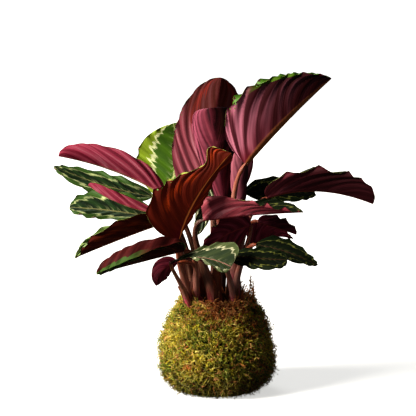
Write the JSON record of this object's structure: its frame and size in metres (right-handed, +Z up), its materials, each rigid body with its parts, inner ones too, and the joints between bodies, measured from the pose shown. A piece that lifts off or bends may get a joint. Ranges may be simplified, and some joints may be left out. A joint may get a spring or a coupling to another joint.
{
  "type": "kokedama moss ball plant",
  "caption": "Broad-leaved house plant with purple-backed, waved leaves growing from a thread-bound ball of living moss that stands on its own flat spot.",
  "frame": {"origin": "middle of the flat spot under the moss ball, where it rests", "axes": "+Z up out of the ball, +X to the right and +Y away from someone who looks at the plant's front"},
  "size_m": [0.3838, 0.2401, 0.3847],
  "materials": {
    "moss": "matte",
    "peat": "matte",
    "thread": "matte",
    "stalk": "satin",
    "leaf_purple": "satin",
    "leaf_green": "satin"
  },
  "bodies": {
    "root": {"moss_wrap": "moss", "peat_core": "peat", "binding_thread": "thread", "shoot_front_left": "stalk", "shoot_rear_left": "stalk", "shoot_front": "stalk", "shoot_middle": "stalk", "shoot_right": "stalk", "leaf_tall_rear": "leaf_purple", "leaf_rolled_middle": "leaf_purple", "leaf_high_right": "leaf_purple", "leaf_level_right": "leaf_purple", "leaf_long_left": "leaf_purple", "leaf_upper_left": "leaf_green", "leaf_broad_left": "leaf_green", "leaf_young_left": "leaf_purple", "leaf_rear_left": "leaf_green", "leaf_front_large": "leaf_purple", "leaf_folded_left": "leaf_purple", "leaf_scrolled_left": "leaf_purple", "leaf_small_drooping": "leaf_purple", "leaf_front_spoon": "leaf_green", "leaf_front_right": "leaf_purple", "leaf_low_middle": "leaf_purple", "leaf_pointed_right": "leaf_green", "leaf_low_right": "leaf_green", "leaf_rear_right": "leaf_green", "leaf_under_right": "leaf_purple", "leaf_narrow_right": "leaf_purple", "leaf_hanging_middle": "leaf_green", "leaf_spear_right": "leaf_purple"}
  },
  "joints": []
}
